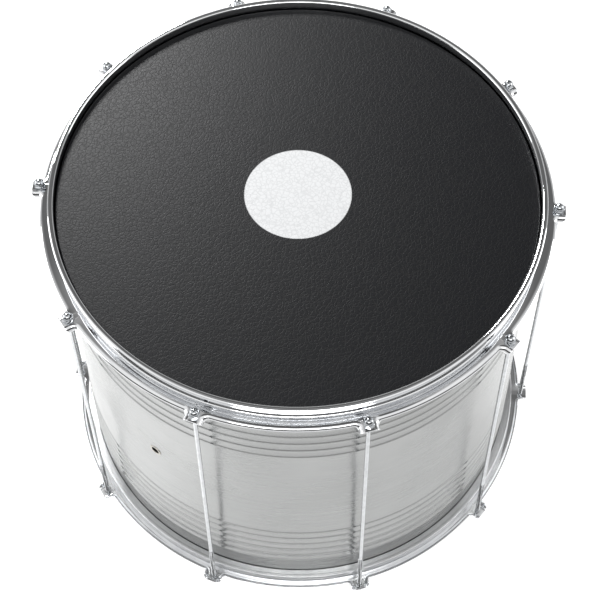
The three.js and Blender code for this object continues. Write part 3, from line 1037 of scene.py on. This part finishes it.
def nut_body(tree, inputs):
    height = inputs["Hexagon height"]
    hexagon = cone(tree, inputs["Corner"], inputs["Corner"], height, HEX_SIDES)
    spread = calculate(tree, "DIVIDE", height, CHAMFER_SLOPE)
    wide = calculate(tree, "ADD", inputs["Face"], spread)
    upper_trim = cone(tree, wide, inputs["Face"], height, ROUND_SIDES)
    lower_trim = cone(tree, inputs["Face"], wide, height, ROUND_SIDES)
    trimmed = mesh_boolean(tree, "INTERSECT", hexagon, upper_trim, lower_trim)
    sphere = add_node(tree, "GeometryNodeMeshUVSphere", {
        "Segments": ROUND_SIDES,
        "Rings": DOME_RINGS,
        "Radius": inputs["Dome"],
    }).outputs["Mesh"]
    rise = calculate(tree, "SUBTRACT", inputs["Height"], height)
    squash = calculate(tree, "DIVIDE", rise, inputs["Dome"])
    squashed = add_node(tree, "ShaderNodeCombineXYZ", {"X": 1.0, "Y": 1.0, "Z": squash})
    dome = set_up(tree, sphere, height, squashed.outputs["Vector"])
    with_dome = mesh_boolean(tree, "UNION", trimmed, dome)
    twice = calculate(tree, "MULTIPLY", inputs["Bore depth"], 2.0)
    bore = set_up(tree, cone(tree, inputs["Bore"], inputs["Bore"], twice, ROUND_SIDES),
                  calculate(tree, "MULTIPLY", inputs["Bore depth"], -1.0))
    return mesh_boolean(tree, "DIFFERENCE", with_dome, bore)


placed = add_node(nut_tree, "GeometryNodeTransform", {
    "Geometry": nut_body(nut_tree, nut_inputs),
    "Translation": nut_inputs["Place"],
    "Rotation": nut_inputs["Turn"],
})
end_tree(nut_tree, placed.outputs["Geometry"], nut_inputs["Finish"])


def cap_nut(end, lug):
    node = "%s_nut_%02d" % (end, lug + 1)
    low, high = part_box(node)
    middle = (low + high) / 2
    seat = low.z if end == "top" else high.z
    over = 0.0 if end == "top" else math.pi
    azimuth = lug * LUG_STEP
    nut = grown("cap_" + node, nut_tree, nut_sizes | {
        "Place": Vector((middle.x, middle.y, seat)),
        "Turn": Vector((over, 0, azimuth)),
    })
    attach(nut, node)
    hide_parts(node)
    return nut


nuts = [cap_nut(end, lug) for end in ENDS for lug in range(LUGS)]
print("nuts:", len(nuts), "with", len(nuts[0].data.polygons), "faces each")

# %% [markdown]
# A product picture is taken on white paper. This paper is given a painted glow of its own round the
# drum, so that it turns pure white in the picture without strong lamps from above, which would wash out
# the metal. The glow fades a step away from the drum.

# %% Floor
FLOOR_SIZE = 30.0            # metres, as are the next three
PAPER_PATCH = 1 / 3          # slow unevenness of the sheet
GLOW_CENTRE = (0, 0.3, 0)
GLOW_EDGES = (0.75, 1.2)     # the glow starts to fade at the first and is gone at the second
# painted glow: how strongly the paper itself gives off light near the drum
GLOW = 0.68


def ramp(tree, value, stops, levels):
    node = add_node(tree, "ShaderNodeMapRange", {
        "Value": value,
        "From Min": stops[0],
        "From Max": stops[1],
        "To Min": levels[0],
        "To Max": levels[1],
    })
    return node.outputs["Result"]


def floor_paper():
    material, tree = new_finish("paper sweep, white")
    place = add_node(tree, "ShaderNodeTexCoord").outputs["Object"]
    patches = add_node(tree, "ShaderNodeTexNoise", {
        "Vector": place,
        "Scale": 1 / PAPER_PATCH,
        "Detail": 2.0,
    })
    colour = mix_colours(tree, patches.outputs["Fac"], srgb("#dadada"), srgb("#dedede"))
    reach = add_node(tree, "ShaderNodeVectorMath", {0: place, 1: GLOW_CENTRE}, operation="DISTANCE")
    glow = ramp(tree, reach.outputs["Value"], GLOW_EDGES, (GLOW, 0.0))
    shade(tree, add_node(tree, "ShaderNodeBsdfPrincipled", {
        "Base Color": colour,
        "Roughness": 0.8,
        "Specular IOR Level": 0.1,
        "Emission Color": colour,
        # painted glow: the paper emits light of its own near the drum, though it is no lamp
        "Emission Strength": glow,
    }))
    return material


half = FLOOR_SIZE / 2
corners = [(-half, -half, 0), (half, -half, 0), (half, half, 0), (-half, half, 0)]
floor = add_piece("floor", corners, [range(len(corners))], floor_paper())
print("floor %.0f m across" % FLOOR_SIZE)

# %% [markdown]
# Polished metal has no colour of its own and only shows what stands round it, so the lamps and
# the room matter more here than the paint. Soft boxes at the sides draw the bright bands down
# the shell, a long strip high in front adds a bright line along the hoops, and a lamp far behind
# and to the left skims over the leather. The room has a ring of soft light overhead: the ledges
# of the hoops mirror it. Straight above and near the floor in front the room is dark, and every
# bend in the chrome turns that into a thin dark line. The ring is dim behind the drum, where the
# playing head would mirror it to the camera.

# %% Lamps and room
def soft_box(name, place, aim, width, height, power):
    light = bpy.data.lights.new(name, "AREA")
    light.shape = "RECTANGLE"
    light.size = width
    light.size_y = height
    light.energy = power
    lamp = bpy.data.objects.new(name, light)
    lamp.location = place
    lamp.rotation_euler = (Vector(aim) - Vector(place)).to_track_quat("-Z", "Y").to_euler()
    bpy.context.scene.collection.objects.link(lamp)
    return lamp


lamps = [
    soft_box("left_box", (-2.4, -0.1, 1.0), aim=(0, 0, 0.25), width=2.0, height=1.4, power=22),
    soft_box("right_box", (2.4, 0.2, 1.0), aim=(0, 0, 0.25), width=1.6, height=1.4, power=17),
    soft_box("skimming_box", (-1.2, 2.4, 2.7), aim=(-0.15, 0.15, 0.5), width=1.0, height=0.8, power=135),
    soft_box("front_box", (0.2, -2.2, 2.6), aim=(0, 0, 0), width=2.2, height=0.5, power=26),
]

# In a direction, Z is the sine of its height above the horizon, and Y is how far it points back.
# Between each pair of stops, the brightness goes from the first level to the second
ZENITH_STOPS, ZENITH_LEVELS = (0.93, 0.97), (1.0, 0.12)
RING_STOPS, RING_LEVELS = (0.15, 0.5), (1.05, 0.15)
WALL_STOPS, WALL_LEVELS = (-0.5, -0.1), (0.05, 0.6)
WALL_TOP_STOPS = (0.35, 0.55)


def studio_room():
    room = bpy.data.worlds.new("studio_room")
    room.use_nodes = True
    tree = room.node_tree
    tree.nodes.clear()
    ray = add_node(tree, "ShaderNodeTexCoord").outputs["Generated"]
    axes = add_node(tree, "ShaderNodeSeparateXYZ", {"Vector": ray}).outputs
    zenith = ramp(tree, axes["Z"], ZENITH_STOPS, ZENITH_LEVELS)
    ceiling = ramp(tree, axes["Y"], RING_STOPS, RING_LEVELS)
    walls = ramp(tree, axes["Y"], WALL_STOPS, WALL_LEVELS)
    brightness = add_node(tree, "ShaderNodeMix", {
        "Factor": ramp(tree, axes["Z"], WALL_TOP_STOPS, (0.0, 1.0)),
        "A": walls,
        "B": calculate(tree, "MULTIPLY", ceiling, zenith),
    }, data_type="FLOAT")
    background = add_node(tree, "ShaderNodeBackground", {
        "Color": srgb("#ffffff"),
        "Strength": brightness.outputs["Result"],
    })
    add_node(tree, "ShaderNodeOutputWorld", {"Surface": background.outputs["Background"]})
    return room


bpy.context.scene.world = studio_room()
print("lamps:", len(lamps))

# %% [markdown]
# The camera looks down on the drum at 56 degrees, from a step in front of it and well above,
# through a long lens. Its picture is cut from a wider one, so the lens is shifted. The view
# transform is the plain one, which keeps the whites white.

# %% Camera
CAMERA_PLACE = (0.08777, -1.22249, 2.29933)    # metres
CAMERA_TURN = math.radians(3.098)
CAMERA_PITCH = math.radians(56.098)
CAMERA_ROLL = math.radians(0.167)
LENS = 102.281               # focal length in millimetres
SHIFT = (-0.025, -0.14167)   # shares of the picture's width

camera = bpy.data.objects.new("camera", bpy.data.cameras.new("camera"))
camera.matrix_world = (
    Matrix.Translation(CAMERA_PLACE)
    @ Matrix.Rotation(CAMERA_TURN, 4, "Z")
    @ Matrix.Rotation(math.pi / 2 - CAMERA_PITCH, 4, "X")
    @ Matrix.Rotation(CAMERA_ROLL, 4, "Z")
)
camera.data.lens = LENS
camera.data.shift_x, camera.data.shift_y = SHIFT
bpy.context.scene.collection.objects.link(camera)
bpy.context.scene.camera = camera
bpy.context.scene.view_settings.view_transform = "Standard"
print("camera %.2f m away" % Vector(CAMERA_PLACE).length)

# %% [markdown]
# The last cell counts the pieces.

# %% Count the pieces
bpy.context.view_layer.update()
pieces = [shell, eyelet, playing_head, lower_head, upper_flesh_hoop, lower_flesh_hoop,
          top_hoop, bottom_hoop, rods, *nuts]
print("pieces:", len(pieces))
